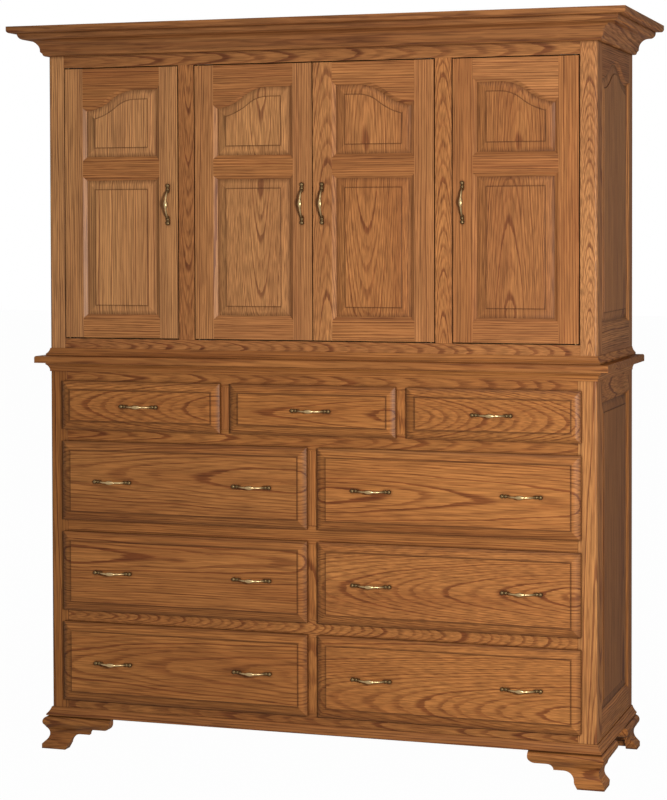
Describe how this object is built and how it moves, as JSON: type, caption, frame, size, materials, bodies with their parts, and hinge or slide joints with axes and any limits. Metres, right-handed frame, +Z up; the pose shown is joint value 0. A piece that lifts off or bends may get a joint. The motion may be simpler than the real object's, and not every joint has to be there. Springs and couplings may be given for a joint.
{
  "type": "mule chest",
  "caption": "Tall oak mule chest: a cupboard with arched raised-panel doors and a crown moulding on a wide chest of lipped drawers with ogee bracket feet and bow pulls.",
  "frame": {"origin": "on the floor, under the middle of the whole chest's bounding box", "axes": "+X to the right as seen from the front, +Y towards the back, +Z up; the doors and drawers face -Y"},
  "size_m": [1.698, 0.582, 1.984],
  "materials": {
    "oak_frame": "satin",
    "oak_panel": "satin",
    "oak_moulding": "satin",
    "inner_timber": "matte",
    "brass": "antique",
    "steel": "brushed"
  },
  "bodies": {
    "case": {"crown_moulding": "oak_moulding", "upper_boards": "inner_timber", "upper_face_frame": "oak_frame", "upper_side_frames": "oak_frame", "upper_side_panels": "oak_panel", "upper_back": "inner_timber", "shelves": "inner_timber", "shelf_pins": "steel", "hinge_plates": "brass", "waist_moulding": "oak_moulding", "plank": "oak_panel", "cove_moulding": "oak_moulding", "lower_face_frame": "oak_frame", "lower_side_frames": "oak_frame", "lower_side_panels": "oak_panel", "lower_back": "inner_timber", "web_frames": "inner_timber", "drawer_guides": "inner_timber", "base_moulding": "oak_moulding", "bracket_feet": "oak_moulding"},
    "left_door": {"left_door_frame": "oak_frame", "left_door_panels": "oak_panel", "left_door_hardware": "brass"},
    "centre_left_door": {"centre_left_door_frame": "oak_frame", "centre_left_door_panels": "oak_panel", "centre_left_door_hardware": "brass"},
    "centre_right_door": {"centre_right_door_frame": "oak_frame", "centre_right_door_panels": "oak_panel", "centre_right_door_hardware": "brass"},
    "right_door": {"right_door_frame": "oak_frame", "right_door_panels": "oak_panel", "right_door_hardware": "brass"},
    "top_left_drawer": {"top_left_drawer_front": "oak_panel", "top_left_drawer_box": "inner_timber", "top_left_drawer_pull": "brass"},
    "top_middle_drawer": {"top_middle_drawer_front": "oak_panel", "top_middle_drawer_box": "inner_timber", "top_middle_drawer_pull": "brass"},
    "top_right_drawer": {"top_right_drawer_front": "oak_panel", "top_right_drawer_box": "inner_timber", "top_right_drawer_pull": "brass"},
    "second_left_drawer": {"second_left_drawer_front": "oak_panel", "second_left_drawer_box": "inner_timber", "second_left_drawer_pulls": "brass"},
    "second_right_drawer": {"second_right_drawer_front": "oak_panel", "second_right_drawer_box": "inner_timber", "second_right_drawer_pulls": "brass"},
    "third_left_drawer": {"third_left_drawer_front": "oak_panel", "third_left_drawer_box": "inner_timber", "third_left_drawer_pulls": "brass"},
    "third_right_drawer": {"third_right_drawer_front": "oak_panel", "third_right_drawer_box": "inner_timber", "third_right_drawer_pulls": "brass"},
    "bottom_left_drawer": {"bottom_left_drawer_front": "oak_panel", "bottom_left_drawer_box": "inner_timber", "bottom_left_drawer_pulls": "brass"},
    "bottom_right_drawer": {"bottom_right_drawer_front": "oak_panel", "bottom_right_drawer_box": "inner_timber", "bottom_right_drawer_pulls": "brass"}
  },
  "joints": [
    {"name": "left_door_hinge", "type": "hinge", "parent": "case", "child": "left_door", "pos_m": [-0.705, -0.199, 1.50325], "axis": [0, 0, -1], "range_deg": [0, 115]},
    {"name": "centre_left_door_hinge", "type": "hinge", "parent": "case", "child": "centre_left_door", "pos_m": [-0.32325, -0.199, 1.50325], "axis": [0, 0, -1], "range_deg": [0, 115]},
    {"name": "centre_right_door_hinge", "type": "hinge", "parent": "case", "child": "centre_right_door", "pos_m": [0.32325, -0.199, 1.50325], "axis": [0, 0, 1], "range_deg": [0, 115]},
    {"name": "right_door_hinge", "type": "hinge", "parent": "case", "child": "right_door", "pos_m": [0.705, -0.199, 1.50325], "axis": [0, 0, 1], "range_deg": [0, 115]},
    {"name": "top_left_drawer_slide", "type": "slide", "parent": "case", "child": "top_left_drawer", "axis": [0, -1, 0], "range_m": [0, 0.33]},
    {"name": "top_middle_drawer_slide", "type": "slide", "parent": "case", "child": "top_middle_drawer", "axis": [0, -1, 0], "range_m": [0, 0.33]},
    {"name": "top_right_drawer_slide", "type": "slide", "parent": "case", "child": "top_right_drawer", "axis": [0, -1, 0], "range_m": [0, 0.33]},
    {"name": "second_left_drawer_slide", "type": "slide", "parent": "case", "child": "second_left_drawer", "axis": [0, -1, 0], "range_m": [0, 0.33]},
    {"name": "second_right_drawer_slide", "type": "slide", "parent": "case", "child": "second_right_drawer", "axis": [0, -1, 0], "range_m": [0, 0.33]},
    {"name": "third_left_drawer_slide", "type": "slide", "parent": "case", "child": "third_left_drawer", "axis": [0, -1, 0], "range_m": [0, 0.33]},
    {"name": "third_right_drawer_slide", "type": "slide", "parent": "case", "child": "third_right_drawer", "axis": [0, -1, 0], "range_m": [0, 0.33]},
    {"name": "bottom_left_drawer_slide", "type": "slide", "parent": "case", "child": "bottom_left_drawer", "axis": [0, -1, 0], "range_m": [0, 0.33]},
    {"name": "bottom_right_drawer_slide", "type": "slide", "parent": "case", "child": "bottom_right_drawer", "axis": [0, -1, 0], "range_m": [0, 0.33]}
  ]
}
